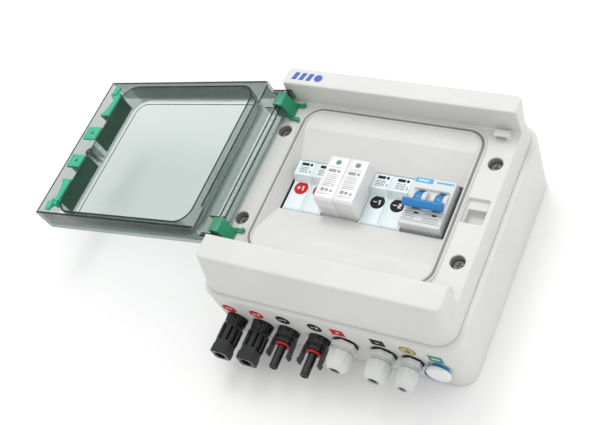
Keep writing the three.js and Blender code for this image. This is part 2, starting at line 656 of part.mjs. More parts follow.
function breaker() {
  const x0 = ROW_LEFT + 6 * MODULE + 0.15;
  const x1 = x0 + 2 * MODULE - 0.3;
  const nose = FACE - 2;
  const pivot = { y: 4, z: nose - 6 };
  const off = THREE.MathUtils.degToRad(124);
  const arm = 16.2;
  const poles = [ROW_LEFT + 6.5 * MODULE, ROW_LEFT + 7.5 * MODULE];
  const drum = 8.6;
  let body = deviceBody(-21, 24.2, nose, x0, x1);
  body = cut(body, box(x0 + 2.5, x1 - 2.5, -5.5, 13.5, nose - 2.2, nose + 1));
  let toggle = null;
  const at = { y: pivot.y + arm * Math.cos(off), z: pivot.z + arm * Math.sin(off) };
  for (const x of poles) {
    body = join(body, roundX(pivot.y, pivot.z, drum + 0.6, x - 7, x + 7));
    body = cut(body, roundX(pivot.y, pivot.z, drum + 1.2, x - 3.3, x + 3.3));
    body = terminals(body, x);
    const lever = new THREE.BoxGeometry(6, arm + 1, 4.4);
    lever.translate(0, (arm + 1) / 2, 0);
    lever.rotateX(off);
    lever.translate(x, pivot.y, pivot.z);
    const pole = join(roundX(pivot.y, pivot.z, drum, x - 3, x + 3), solid(lever));
    toggle = toggle ? join(toggle, pole) : pole;
  }
  const bar = new THREE.ExtrudeGeometry(roundRect(3.6, 2.6, 2.2), {
    depth: x1 - x0 - 1.5, bevelEnabled: false, curveSegments: 4,
  });
  bar.applyMatrix4(new THREE.Matrix4().makeBasis(Y_AXIS, Z_AXIS, X_AXIS));
  bar.rotateX(off - Math.PI / 2);
  bar.translate(x0 + 0.75, at.y, at.z);
  toggle = join(toggle, solid(bar));
  part('breaker_case', body, 'breaker');
  part('breaker_toggle', toggle, 'blue');
}

function busbars() {
  const runs = [['positive', [0.5, 1.5, 2.5]], ['negative', [4.5, 5.5, 6.5]]];
  for (const [pole, slots] of runs) {
    const centres = slots.map((slot) => ROW_LEFT + slot * MODULE);
    let body = box(centres[0] - 5, centres[centres.length - 1] + 5, 44, 46, 40, 52);
    for (const x of centres) {
      body = join(body, box(x - 2.5, x + 2.5, 34, 45, 43, 45));
    }
    part(`busbar_${pole}`, body, 'copper');
  }
  let bar = box(93, 101, -28, 28, 10 + GAP, 18);
  for (const y of [-16, -8, 0, 8, 16]) {
    bar = cut(bar, roundZ(97, y, 2, 5, 20, 12));
  }
  part('earth_bar', bar, 'brass');
}

// ---------------------------------------------------------------- connectors and glands
/** The threaded stub through the wall, and the nut that clamps it from inside. */
function wallNut(name, x, z, stub, look, across = 10) {
  const nut = cut(
    roundY(x, z, across, -110.5, -105.8, 6),
    roundY(x, z, stub + 0.35, -112, -104),
  );
  part(name, nut, look);
}

function sockets() {
  const half = 7.7;
  SOCKET_X.forEach((x, i) => {
    let body = join(
      roundY(x, PV_Z, 9.4, SEAT_Y - 8, SEAT_Y - GAP, 16, 9.6),
      roundY(x, PV_Z, 8, SEAT_Y - 10, SEAT_Y - 7, 16),
      prismY(roundRect(half, half, 3, x, PV_Z), SEAT_Y - 37, SEAT_Y - 9, 4),
      roundY(x, PV_Z, 6, SEAT_Y - 1, -102),
    );
    body = cut(body, roundY(x, PV_Z, 4.4, SEAT_Y - 38, SEAT_Y - 14));
    body = cut(body, roundY(x, PV_Z, 2.2, SEAT_Y - 20, -101, 12));
    for (const side of [-1, 1]) {
      const edge = x + side * half;
      body = cut(
        body,
        box(edge - 1.3, edge + 1.3, SEAT_Y - 22, SEAT_Y - 11, PV_Z - 2.2, PV_Z + 2.2),
        box(edge - 1.7, edge + 1.7, SEAT_Y - 30, SEAT_Y - 25, PV_Z - 9, PV_Z + 9),
      );
    }
    part(`pv_socket_${i + 1}`, body, 'black');
    wallNut(`pv_socket_nut_${i + 1}`, x, PV_Z, 6, 'black');
  });
}

function plugs() {
  PLUG_X.forEach((x, i) => {
    let body = join(
      roundY(x, PV_Z, 8.4, SEAT_Y - 8, SEAT_Y - GAP, 16, 9.9),
      roundY(x, PV_Z, 7.2, SEAT_Y - 12.6, SEAT_Y - 7, 16),
      roundY(x, PV_Z, 3.8, SEAT_Y - 35, SEAT_Y - 12, 16),
      roundY(x, PV_Z, 6, SEAT_Y - 1, -102),
    );
    for (const side of [-1, 1]) {
      const inner = x + side * 8.3;
      const outer = x + side * 10.4;
      const root = x + side * 6;
      const barb = x + side * 11.4;
      const ordered = (a, b) => [Math.min(a, b), Math.max(a, b)];
      body = join(
        body,
        box(...ordered(root, outer), SEAT_Y - 11, SEAT_Y - 4, PV_Z - 3, PV_Z + 3),
        box(...ordered(inner, outer), SEAT_Y - 25, SEAT_Y - 9, PV_Z - 3, PV_Z + 3),
        box(...ordered(inner, barb), SEAT_Y - 25, SEAT_Y - 21, PV_Z - 3, PV_Z + 3),
      );
    }
    body = cut(body, roundY(x, PV_Z, 2.1, SEAT_Y - 36, -101, 12));
    part(`pv_plug_${i + 1}`, body, 'black');
    const ring = [[4.1, -13], [6.4, -13], [7, -13.8], [6.4, -14.6], [4.1, -14.6]];
    part(`pv_ring_${i + 1}`, turnedY(x, PV_Z, ring.map(([r, y]) => [r, SEAT_Y + y])), 'red');
    wallNut(`pv_plug_nut_${i + 1}`, x, PV_Z, 6, 'black');
  });
}

function glands() {
  GLANDS.forEach(({ x, hex, neck, nut, bore, thread }, i) => {
    const body = join(
      roundY(x, GLAND_Z, hex, SEAT_Y - 7.4, SEAT_Y - 2.1, 6),
      roundY(x, GLAND_Z, neck, SEAT_Y - 16, SEAT_Y - 6),
      roundY(x, GLAND_Z, thread, SEAT_Y - 3, -101),
      roundY(x, GLAND_Z, thread + 2.6, -110.5, -106.5, 6),
    );
    part(
      `gland_body_${i + 1}`,
      cut(body, roundY(x, GLAND_Z, bore + 1.4, SEAT_Y - 17, -100)),
      'white',
    );
    const ring = [[thread + GAP, -GAP], [hex + 0.9, -GAP], [hex + 0.9, -1.8], [thread + GAP, -1.8]];
    part(`gland_washer_${i + 1}`, turnedY(x, GLAND_Z, ring.map(([r, y]) => [r, SEAT_Y + y])), 'rubber');
    const top = -9.6;
    const sides = 12;
    const inner = (neck + GAP) / Math.cos(Math.PI / sides);
    const dome = [
      [inner, top], [nut, top], [nut, -18.5], [nut - 1, -21.5], [nut - 3.4, -24.2],
      [nut - 5.4, -25.2], [bore + 0.4, -25.4], [bore + 0.4, -18.8], [inner, -18.8],
    ];
    part(`gland_nut_${i + 1}`, turnedY(x, GLAND_Z, dome.map(([r, y]) => [r, SEAT_Y + y]), sides), 'white');
    const insert = [[bore - 0.5, -8], [bore + 1.1, -8], [bore + 1.1, -17.8], [bore - 0.5, -17.8]];
    part(`gland_seal_${i + 1}`, turnedY(x, GLAND_Z, insert.map(([r, y]) => [r, SEAT_Y + y]), 12), 'rubber');
  });
}

function ventPlug() {
  const cap = [[0, -7.8], [8.6, -7.8], [10.2, -6.6], [10.2, -4.4], [9, -3.4], [0, -3.4]];
  let body = turnedY(VENT_X, GLAND_Z, cap.map(([r, y]) => [r, SEAT_Y + y]), 10);
  body = join(body, roundY(VENT_X, GLAND_Z, 5, SEAT_Y - 4, -104));
  body = cut(body, roundY(VENT_X, GLAND_Z, 1.8, SEAT_Y - 3, -103, 12));
  part('vent_plug', body, 'white');
  const ring = join(
    roundY(VENT_X, GLAND_Z, 9.4, SEAT_Y - 3.1, SEAT_Y - GAP),
    box(VENT_X - 12.4, VENT_X - 6, SEAT_Y - 2.6, SEAT_Y - 0.8, GLAND_Z - 5.5, GLAND_Z + 2.5),
  );
  part('vent_ring', cut(ring, roundY(VENT_X, GLAND_Z, 5.4, SEAT_Y - 5, SEAT_Y + 1)), 'blue');
}

// ---------------------------------------------------------------- assembly
baseShell();
coverShell();
seals();
coverScrews();
hingeClips();
doorPanel();
latches();
dinRail();
fuseHolder('positive_1', 0);
fuseHolder('positive_2', 1);
fuseHolder('negative_1', 4);
fuseHolder('negative_2', 5);
surgeProtector();
breaker();
busbars();
sockets();
plugs();
glands();
ventPlug();

export default group;
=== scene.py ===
"""Looks for the DC combiner box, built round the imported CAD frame.

Blender works in metres; the numbers here are millimetres in the CAD's frame, turned to metres by MM.
"""
import json
import math
import random

import bmesh
import bpy
from mathutils import Matrix, Vector


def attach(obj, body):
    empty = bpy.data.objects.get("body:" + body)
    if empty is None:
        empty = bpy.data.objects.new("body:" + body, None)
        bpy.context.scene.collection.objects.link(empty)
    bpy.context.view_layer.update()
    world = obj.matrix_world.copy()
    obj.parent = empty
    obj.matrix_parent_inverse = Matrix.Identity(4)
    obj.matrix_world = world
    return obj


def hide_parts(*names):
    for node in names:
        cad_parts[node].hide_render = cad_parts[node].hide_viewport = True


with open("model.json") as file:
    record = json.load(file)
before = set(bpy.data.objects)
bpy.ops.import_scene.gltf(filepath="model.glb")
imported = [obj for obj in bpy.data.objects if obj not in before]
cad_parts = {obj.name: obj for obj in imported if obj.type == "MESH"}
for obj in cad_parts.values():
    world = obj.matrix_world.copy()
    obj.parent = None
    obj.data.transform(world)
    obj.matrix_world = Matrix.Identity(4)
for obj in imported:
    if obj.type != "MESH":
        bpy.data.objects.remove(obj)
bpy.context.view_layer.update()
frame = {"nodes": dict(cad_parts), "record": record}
scene = bpy.context.scene
BODY_OF = {n: b for b, nodes in frame["record"]["behaviour"]["bodies"].items() for n in nodes}
SLOT_OF = {p["node"]: p["material_slot"] for p in frame["record"]["subparts"]}

MM = 0.001
EYE = (365.86, -399.93, 766.96)
AIM = (-64.207, -15.776, 50.0)
ROLL = math.radians(-29.922)
LENS = 64.2

FACE = 78.0  # the cover's front face
BROW_TOP = 103.0
SCREW_X = 97.0
SCREW_Y = 46.25
HINGE_X = -105.4
HINGE_Z = 92.3
OPEN = math.radians(191)
PANEL_INSIDE = 100.55  # height of the clear panel's inner face when the door is shut
LATCH_SHADED_WALL_AREA = 60e-6  # square metres: a latch's broad walls, which get painted shade, are larger, its small faces smaller

ROW_LEFT = -71.5
MODULE = 18.0  # pitch of the rail devices
DRAWER_FACE = 68.0  # the fuse drawers' fronts, low down and at their labels
LABEL_FACE = 75.0
SURGE_FACE = 91.0
BREAKER_FACE = 76.0

SEAT = -114.2  # flat seats on the lower wall
PV_Z = 27.0  # height of the solar connectors' axes
GLAND_Z = 31.5  # height of the glands' axes


# ------------------------------------------------------------------ camera and light
def camera():
    data = bpy.data.cameras.new("view")
    data.lens = LENS
    data.sensor_width = 36.0
    data.clip_end = 20.0
    cam = bpy.data.objects.new("view", data)
    scene.collection.objects.link(cam)
    eye = Vector(EYE)
    level = (Vector(AIM) - eye).to_track_quat("-Z", "Y").to_matrix()
    turn = level @ Matrix.Rotation(ROLL, 3, "Z")
    cam.matrix_world = Matrix.Translation(eye * MM) @ turn.to_4x4()
    scene.camera = cam


def lamp(name, spot, target, size, watts):
    """A square soft lamp; spot and target are in metres."""
    data = bpy.data.lights.new(name, "AREA")
    data.shape = "SQUARE"
    data.size = size
    data.energy = watts
    obj = bpy.data.objects.new(name, data)
    scene.collection.objects.link(obj)
    obj.location = spot
    obj.rotation_euler = (Vector(target) - Vector(spot)).to_track_quat("-Z", "Y").to_euler()


def tent():
    """A bright tent all round that is darker towards the box's lower end."""
    bright_side = Vector((0.42, 0.58, 0.70)).normalized()
    dark, bright = 0.63, 1.12
    world = bpy.data.worlds.new("studio")
    world.use_nodes = True
    nodes, links = world.node_tree.nodes, world.node_tree.links
    back = nodes["Background"]
    back.inputs["Color"].default_value = (1.0, 1.0, 0.99, 1)
    where = nodes.new("ShaderNodeTexCoord")
    lean = nodes.new("ShaderNodeVectorMath")
    lean.operation = "DOT_PRODUCT"
    lean.inputs[1].default_value = bright_side
    links.new(where.outputs["Generated"], lean.inputs[0])
    span = nodes.new("ShaderNodeMapRange")
    span.inputs["From Min"].default_value = -0.7
    span.inputs["From Max"].default_value = 0.9
    span.inputs["To Min"].default_value = dark
    span.inputs["To Max"].default_value = bright
    links.new(lean.outputs["Value"], span.inputs["Value"])
    links.new(span.outputs["Result"], back.inputs["Strength"])
    scene.world = world


def floor():
    """A pale floor, a hair under the box's back."""
    half = 6.0
    low = -0.0006
    mesh = bpy.data.meshes.new("floor")
    corners = [(-half, -half, low), (half, -half, low), (half, half, low), (-half, half, low)]
    mesh.from_pydata(corners, [], [(0, 1, 2, 3)])
    plane = bpy.data.objects.new("floor", mesh)
    scene.collection.objects.link(plane)
    mat = bpy.data.materials.new("floor")
    mat.use_nodes = True
    shader = mat.node_tree.nodes["Principled BSDF"]
    shader.inputs["Base Color"].default_value = (0.95, 0.95, 0.95, 1)
    shader.inputs["Roughness"].default_value = 0.9
    mesh.materials.append(mat)


camera()
tent()
lamp("key", (-0.5, 0.9, 1.7), (0, 0, 0.05), 0.8, 9)
scene.view_settings.view_transform = "Standard"
floor()


# ------------------------------------------------------------------ materials
def moulded(name, low, high, rough, grain=2600, bump=0.04, patch=22, spec=0.5, rough_span=0.08):
    """Moulded plastic or rubber: slow colour drift, fine surface grain, gloss that varies a little."""
    mat = bpy.data.materials.new(name)
    mat.use_nodes = True
    tree = mat.node_tree
    nodes, links = tree.nodes, tree.links
    shader = nodes["Principled BSDF"]
    shader.inputs["Specular IOR Level"].default_value = spec
    where = nodes.new("ShaderNodeTexCoord")

    def noise(scale, detail):
        tex = nodes.new("ShaderNodeTexNoise")
        tex.inputs["Scale"].default_value = scale
        tex.inputs["Detail"].default_value = detail
        links.new(where.outputs["Object"], tex.inputs["Vector"])
        return tex

    drift = noise(patch, 3)
    ramp = nodes.new("ShaderNodeValToRGB")
    ramp.color_ramp.elements[0].position = 0.3
    ramp.color_ramp.elements[0].color = (*low, 1)
    ramp.color_ramp.elements[1].position = 0.7
    ramp.color_ramp.elements[1].color = (*high, 1)
    links.new(drift.outputs["Fac"], ramp.inputs["Fac"])
    links.new(ramp.outputs["Color"], shader.inputs["Base Color"])
    smear = noise(patch * 6, 4)
    span = nodes.new("ShaderNodeMapRange")
    span.inputs["To Min"].default_value = rough - rough_span
    span.inputs["To Max"].default_value = rough + rough_span
    links.new(smear.outputs["Fac"], span.inputs["Value"])
    links.new(span.outputs["Result"], shader.inputs["Roughness"])
    fine = noise(grain, 2)
    relief = nodes.new("ShaderNodeBump")
    relief.inputs["Strength"].default_value = bump
    relief.inputs["Distance"].default_value = 0.0002
    links.new(fine.outputs["Fac"], relief.inputs["Height"])
    links.new(relief.outputs["Normal"], shader.inputs["Normal"])
    return mat


def metal(name, low, high, rough):
    mat = moulded(name, low, high, rough, grain=900, bump=0.05, patch=60)
    mat.node_tree.nodes["Principled BSDF"].inputs["Metallic"].default_value = 0.95
    return mat


def clear(name, tint, edge, haze, haze_share):
    """Clear smoke plastic: tint straight through, edge colour where it is seen along the wall."""
    bright_haze = tuple(c * 1.05 for c in haze)
    mat = moulded(name, haze, bright_haze, 0.10, grain=500, bump=0.002, rough_span=0.02)
    nodes, links = mat.node_tree.nodes, mat.node_tree.links
    shader = nodes["Principled BSDF"]
    along = nodes.new("ShaderNodeLayerWeight")
    along.inputs["Blend"].default_value = 0.5

    def glancing(power):
        raised = nodes.new("ShaderNodeMath")
        raised.operation = "POWER"
        raised.inputs[1].default_value = power
        links.new(along.outputs["Facing"], raised.inputs[0])
        return raised.outputs["Value"]

    passed = nodes.new("ShaderNodeMix")
    passed.data_type = "RGBA"
    straight, slanting = [s for s in passed.inputs if s.type == "RGBA"]
    straight.default_value = (*tint, 1)
    slanting.default_value = (*edge, 1)
    links.new(glancing(3.5), passed.inputs["Factor"])
    through = nodes.new("ShaderNodeBsdfTransparent")
    result = next(s for s in passed.outputs if s.type == "RGBA")
    links.new(result, through.inputs["Color"])
    share = nodes.new("ShaderNodeMapRange")
    share.inputs["To Min"].default_value = haze_share
    share.inputs["To Max"].default_value = 0.7
    links.new(glancing(5.0), share.inputs["Value"])
    mix = nodes.new("ShaderNodeMixShader")
    links.new(share.outputs["Result"], mix.inputs["Fac"])
    links.new(through.outputs["BSDF"], mix.inputs[1])
    links.new(shader.outputs["BSDF"], mix.inputs[2])
    path = nodes.new("ShaderNodeLightPath")
    open_way = nodes.new("ShaderNodeBsdfTransparent")
    shade = nodes.new("ShaderNodeMixShader")
    links.new(path.outputs["Is Shadow Ray"], shade.inputs["Fac"])
    links.new(mix.outputs["Shader"], shade.inputs[1])
    links.new(open_way.outputs["BSDF"], shade.inputs[2])
    links.new(shade.outputs["Shader"], nodes["Material Output"].inputs["Surface"])
    return mat


SHELL = moulded("shell_plastic", (0.66, 0.66, 0.645), (0.69, 0.69, 0.675), 0.42, bump=0.06)
DEVICE = moulded("device_plastic", (0.73, 0.82, 0.84), (0.77, 0.86, 0.88), 0.45)
BREAKER = moulded("breaker_plastic", (0.66, 0.68, 0.68), (0.71, 0.72, 0.72), 0.45)
WHITE = moulded("white_plastic", (0.78, 0.79, 0.79), (0.83, 0.84, 0.84), 0.36)
GLAND = moulded("gland_plastic", (0.64, 0.66, 0.65), (0.69, 0.71, 0.70), 0.34)
GREEN = moulded("green_plastic", (0.010, 0.25, 0.115), (0.015, 0.29, 0.14), 0.36)
LIGHT_GREEN = moulded("light_green_plastic", (0.03, 0.42, 0.25), (0.04, 0.48, 0.29), 0.36)
# painted shade: a darker copy of the latch green, for the latches' shaded broad walls
LATCH_SHADE_GREEN = moulded("latch_painted_shade_green", (0.006, 0.11, 0.06), (0.010, 0.14, 0.08), 0.4)
BLUE = moulded("blue_plastic", (0.012, 0.19, 0.50), (0.02, 0.23, 0.56), 0.3)
BLACK = moulded("black_plastic", (0.004, 0.005, 0.006), (0.008, 0.009, 0.010), 0.2)
RUBBER = moulded("black_rubber", (0.014, 0.014, 0.014), (0.022, 0.022, 0.022), 0.7)
SEAL = moulded("grey_seal", (0.22, 0.22, 0.215), (0.28, 0.28, 0.275), 0.7)
# grey of the cover screws, and painted shade on the sleeves laid in their recesses
SCREW_GREY_AND_SHADE = moulded("screw_grey_and_recess_shade", (0.26, 0.26, 0.255), (0.34, 0.34, 0.33), 0.6, patch=400)
RED = moulded("red_rubber", (0.50, 0.012, 0.02), (0.60, 0.018, 0.025), 0.45)
CERAMIC = moulded("ceramic", (0.72, 0.67, 0.56), (0.80, 0.75, 0.64), 0.5)
STEEL = metal("steel", (0.42, 0.43, 0.44), (0.5, 0.51, 0.52), 0.35)
COPPER = metal("copper", (0.62, 0.3, 0.16), (0.7, 0.35, 0.2), 0.35)
BRASS = metal("brass", (0.6, 0.44, 0.16), (0.68, 0.5, 0.2), 0.35)

INK = moulded("black_print", (0.010, 0.010, 0.010), (0.016, 0.016, 0.016), 0.6, spec=0.2)
DARK_INK = moulded("dark_print", (0.07, 0.07, 0.07), (0.10, 0.10, 0.10), 0.5)
GREY_INK = moulded("grey_print", (0.28, 0.28, 0.28), (0.34, 0.34, 0.34), 0.5)
PAPER = moulded("white_print", (0.80, 0.80, 0.80), (0.86, 0.86, 0.86), 0.5)
RED_INK = moulded("red_print", (0.50, 0.012, 0.018), (0.56, 0.016, 0.022), 0.6, spec=0.2)
MARK_INK = moulded("mark_print", (0.03, 0.10, 0.42), (0.04, 0.12, 0.48), 0.45)
CYAN = moulded("cyan_print", (0.02, 0.38, 0.66), (0.03, 0.42, 0.70), 0.4)
YELLOW = moulded("yellow_print", (0.50, 0.44, 0.12), (0.56, 0.50, 0.15), 0.45)
GREEN_INK = moulded("green_print", (0.01, 0.25, 0.15), (0.015, 0.29, 0.18), 0.45)

SMOKE = clear("smoke_plastic", (0.90, 0.93, 0.925), (0.50, 0.57, 0.55), (0.34, 0.40, 0.38), 0.06)
# painted shade: darker copies of the smoke plastic for the door's walls, sides, rim edges and panel step,
# standing in for light dimmed along the plastic
SMOKE_WALL_SHADE = clear("smoke_wall_painted_shade", (0.79, 0.82, 0.81), (0.42, 0.48, 0.465), (0.20, 0.24, 0.23), 0.10)
SMOKE_SIDE_SHADE = clear("smoke_side_painted_shade", (0.63, 0.665, 0.655), (0.34, 0.39, 0.375), (0.16, 0.19, 0.18), 0.10)
SMOKE_EDGE_SHADE = clear("smoke_edge_painted_shade", (0.10, 0.125, 0.12), (0.03, 0.04, 0.038), (0.02, 0.028, 0.026), 0.5)

LOOK = {
    "shell": SHELL, "device": DEVICE, "breaker": BREAKER, "white": WHITE, "green": GREEN, "blue": BLUE,
    "black": BLACK, "rubber": RUBBER, "red": RED, "ceramic": CERAMIC, "steel": STEEL, "copper": COPPER,
    "brass": BRASS, "smoke": SMOKE,
}


# ------------------------------------------------------------------ pieces and shared mesh helpers
def place(name, mesh, look, body, nodes=()):
    """Put a mesh in the scene as a piece on a body, standing for the CAD nodes named."""
    piece = bpy.data.objects.new(name, mesh)
    scene.collection.objects.link(piece)
    if not mesh.materials:
        mesh.materials.append(look)
    if nodes:
        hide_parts(*nodes)
    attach(piece, body)
    return piece


def stand_in(node, mesh, look):
    """Put a mesh in the scene for one CAD node."""
    return place(node + "_skin", mesh, look, BODY_OF[node], [node])


def close(work, name, degrees=32):
    """Finish a bmesh: smooth shading, broken at the sharp edges."""
    work.normal_update()
    for face in work.faces:
        face.smooth = True
    for edge in work.edges:
        edge.smooth = len(edge.link_faces) == 2 and edge.calc_face_angle(0) < math.radians(degrees)
    mesh = bpy.data.meshes.new(name)
    work.to_mesh(mesh)
    work.free()
    return mesh


def paint(node, look=None):
    """A CAD node that stays as it is, with the real material on it."""
    look = look or LOOK[SLOT_OF[node]]
    mesh = frame["nodes"][node].data
    if not mesh.materials:
        mesh.materials.append(look)
    for i in range(len(mesh.materials)):
        mesh.materials[i] = look


def refine(node, width, segments=2, look=None):
    """A copy of a CAD node with clean faces and soft edges, which stands for it."""
    mesh = frame["nodes"][node].data.copy()
    mesh.materials.clear()
    work = bmesh.new()
    work.from_mesh(mesh)
    bmesh.ops.remove_doubles(work, verts=work.verts, dist=2e-6)
    bmesh.ops.dissolve_limit(work, angle_limit=math.radians(0.6), verts=work.verts, edges=work.edges)
    for face in work.faces:
        face.smooth = True
    work.to_mesh(mesh)
    work.free()
    mesh.materials.append(look or LOOK[SLOT_OF[node]])
    piece = stand_in(node, mesh, None)
    bevel = piece.modifiers.new("soft_edges", "BEVEL")
    bevel.width = width * MM
    bevel.segments = segments
    bevel.limit_method = "ANGLE"
    bevel.angle_limit = math.radians(28)
    bevel.harden_normals = True
    return piece


def plain(node):
    """A copy of a CAD node with its flat faces shaded flat, which stands for it."""
    work = bmesh.new()
    work.from_mesh(frame["nodes"][node].data)
    bmesh.ops.remove_doubles(work, verts=work.verts, dist=2e-6)
    return stand_in(node, close(work, node, 26), LOOK[SLOT_OF[node]])


def moulding(node, voxel, rounds, keep):
    """A copy of a CAD node with every edge softened, as moulded plastic is, which stands for it."""
    mesh = frame["nodes"][node].data.copy()
    mesh.materials.clear()
    shape = bpy.data.objects.new("shape", mesh)
    scene.collection.objects.link(shape)
    weld = shape.modifiers.new("weld", "WELD")
    weld.merge_threshold = 2e-6
    grid = shape.modifiers.new("grid", "REMESH")
    grid.mode = "VOXEL"
    grid.voxel_size = voxel * MM
    grid.adaptivity = 0
    ease = shape.modifiers.new("ease", "SMOOTH")
    ease.factor = 0.5
    ease.iterations = rounds
    thin = shape.modifiers.new("thin", "DECIMATE")
    thin.ratio = keep
    done = bpy.data.meshes.new_from_object(shape.evaluated_get(bpy.context.evaluated_depsgraph_get()))
    bpy.data.objects.remove(shape)
    done.materials.clear()
    done.polygons.foreach_set("use_smooth", [True] * len(done.polygons))
    return stand_in(node, done, LOOK[SLOT_OF[node]])


def join_loops(work, loops):
    """Faces between each loop of points and the next, and from the last loop back to the first."""
    new = []
    for near, far in zip(loops, loops[1:] + loops[:1]):
        for i in range(len(near)):
            j = (i + 1) % len(near)
            new.append(work.faces.new((near[i], near[j], far[j], far[i])))
    bmesh.ops.recalc_face_normals(work, faces=new)


def round_y(work, centre, y, radius, sides):
    """A loop of points round the Y direction through centre = (x, z). radius is a function of the turn."""
    loop = []
    for i in range(sides):
        turn = 2 * math.pi * i / sides
        r = radius(turn)
        spot = Vector((centre[0] + r * math.sin(turn), y, centre[1] + r * math.cos(turn))) * MM
        loop.append(work.verts.new(spot))
    return loop


def faceted(radius, flat, facets):
    """An outline between round, at flat 0, and a polygon of that many facets, at flat 1."""
    step = 2 * math.pi / facets

    def reach(turn):
        off = (turn % step) - step / 2
        return radius * (1 - flat + flat * math.cos(step / 2) / math.cos(off))
    return reach


def turned(centre, profile, sides=40, facets=8):
    """A closed profile of (radius, y, flat) turned about the Y direction through centre = (x, z)."""
    work = bmesh.new()
    loops = [round_y(work, centre, y, faceted(radius, flat, facets), sides) for radius, y, flat in profile]
    join_loops(work, loops)
    return close(work, "turned")


def ring(radius):
    return lambda turn: radius


def fluted(radius, depth, count):
    """A round outline with grooves cut along it."""
    return lambda turn: radius - (depth if math.cos(count * turn) > 0.25 else 0.0)


def grooved(half, groove, cap, side_half=None):
    """A square outline with two grooves in each face, its corners cut at radius cap."""
    groove_start, groove_end = 2.4, 4.9

    def reach(turn):
        off = (turn + math.pi / 4) % (math.pi / 2) - math.pi / 4
        across = half * math.tan(abs(off))
        out = half - (groove if groove_start < across < groove_end else 0.0)
        if side_half and abs(math.sin(turn)) > abs(math.cos(turn)):
            out = min(out, side_half)
        return min(out / math.cos(off), cap)
    return reach


def sleeve(work, centre, rows, sides=96):
    """Outlines at given distances out of the lower wall, joined into one ring-shaped body."""
    join_loops(work, [round_y(work, centre, SEAT + y, radius, sides) for y, radius in rows])


def slab(work, points, to_space, low, high):
    """A flat outline carried from low to high. to_space turns (a, b, height) into x, y, z."""
    bottom = [work.verts.new(Vector(to_space(a, b, low)) * MM) for a, b in points]
    top = [work.verts.new(Vector(to_space(a, b, high)) * MM) for a, b in points]
    new = [work.faces.new(bottom), work.faces.new(top)]
    for i in range(len(points)):
        j = (i + 1) % len(points)
        new.append(work.faces.new((bottom[i], bottom[j], top[j], top[i])))
    bmesh.ops.recalc_face_normals(work, faces=new)


# ------------------------------------------------------------------ outlines, and where they are drawn
def disc(radius, sides=28, cx=0.0, cy=0.0):
    turns = [2 * math.pi * i / sides for i in range(sides)]
    return [(cx + radius * math.cos(turn), cy + radius * math.sin(turn)) for turn in turns]


def patch(half_x, half_y, radius=0.6, cx=0.0, cy=0.0):
    """A rectangle with round corners."""
    steps = 4
    points = []
    for quarter, (side_x, side_y) in enumerate([(1, 1), (-1, 1), (-1, -1), (1, -1)]):
        for i in range(steps + 1):
            turn = math.pi / 2 * (quarter + i / steps)
            points.append((
                cx + side_x * (half_x - radius) + radius * math.cos(turn),
                cy + side_y * (half_y - radius) + radius * math.sin(turn),
            ))
    return points


def bar(x0, x1, y0, y1):
    return [(x0, y0), (x1, y0), (x1, y1), (x0, y1)]


def dashes(rng, x0, x1, rows, height=0.55):
    """Rows of short strokes that stand for small print, without being letters."""
    outlines = []
    for y in rows:
        x = x0
        while x < x1 - 0.5:
            stroke = rng.uniform(0.5, 1.5)
            end = min(x + stroke, x1)
            outlines.append(bar(x, end, y - height / 2, y + height / 2))
            x = end + rng.uniform(0.3, 0.6)
    return outlines


def sign(kind, size, cx=0.0, cy=0.0):
    """A plus, a minus, or a figure 1 or 2, drawn in bars."""
    s = size / 2
    t = size * 0.11  # half a bar's width
    gap = 0.001  # bars meet without sharing a face
    if kind == "+":
        return [
            bar(cx - s, cx + s, cy - t, cy + t),
            bar(cx - t, cx + t, cy + t + gap, cy + s),
            bar(cx - t, cx + t, cy - s, cy - t - gap),
        ]
    if kind == "-":
        return [bar(cx - s, cx + s, cy - t, cy + t)]
    if kind == "1":
        flag = [
            (cx - t, cy + s), (cx - t, cy + s - 1.6 * t),
            (cx - 3 * t, cy + s - 3.4 * t), (cx - 3 * t, cy + s - 1.8 * t),
        ]
        return [bar(cx - t, cx + t, cy - s, cy + s), flag]
    w = s * 0.62
    return [
        bar(cx - w, cx + w, cy + s - 2 * t, cy + s),
        bar(cx - w, cx + w, cy - t, cy + t),
        bar(cx - w, cx + w, cy - s, cy - s + 2 * t),
        bar(cx + w - 2 * t, cx + w, cy + t + gap, cy + s - 2 * t - gap),
        bar(cx - w, cx - w + 2 * t, cy - s + 2 * t + gap, cy - t - gap),
    ]


def on_top(z):
    """Outlines drawn on a face that looks along +Z at height z."""
    return lambda a, b, h: (a, b, z + h)


def wall_y(z):
    """The lower wall's outside at height z: the wall leans out towards the cover."""
    return -(113.5 + 2.75 * z / 64)


def on_wall(x, z):
    """Outlines drawn on the lower wall round x, z, as seen from outside; height stands out of the wall."""
    return lambda a, b, h: (x + a, wall_y(z + b) - h, z + b)


def on_closed_door(z):
    """Outlines drawn on the door as it would lie shut, at height z, and carried to where it stands open."""
    swing = Matrix.Rotation(-OPEN, 3, "Y")

    def carry(a, b, h):
        spot = swing @ Vector((a - HINGE_X, b, z + h - HINGE_Z))
        return (spot.x + HINGE_X, spot.y, spot.z + HINGE_Z)
    return carry


def prints(name, outlines, to_space, look, body, low=0.02, high=0.1):
    """A printed mark or thin label: several outlines, each a hair thick."""
    work = bmesh.new()
    for points in outlines:
        slab(work, points, to_space, low, high)
    return place(name, close(work, name), look, body)


# ------------------------------------------------------------------ enclosure
def screw_recess_shade(name, x, y):
    """Painted shade: a dark grey sleeve laid in the recess over a cover screw, darkening its walls."""
    work = bmesh.new()
    profile = [(6.15, 77.2), (5.85, 77.2), (5.8, 68.6), (4.9, 68.4), (4.9, 68.15), (6.15, 68.15)]
    sides = 36
    turns = [2 * math.pi * i / sides for i in range(sides)]
    loops = [
        [work.verts.new(Vector((x + r * math.cos(turn), y + r * math.sin(turn), z)) * MM) for turn in turns]
        for r, z in profile
    ]
    join_loops(work, loops)
    place(name, close(work, "cup"), SCREW_GREY_AND_SHADE, "enclosure")


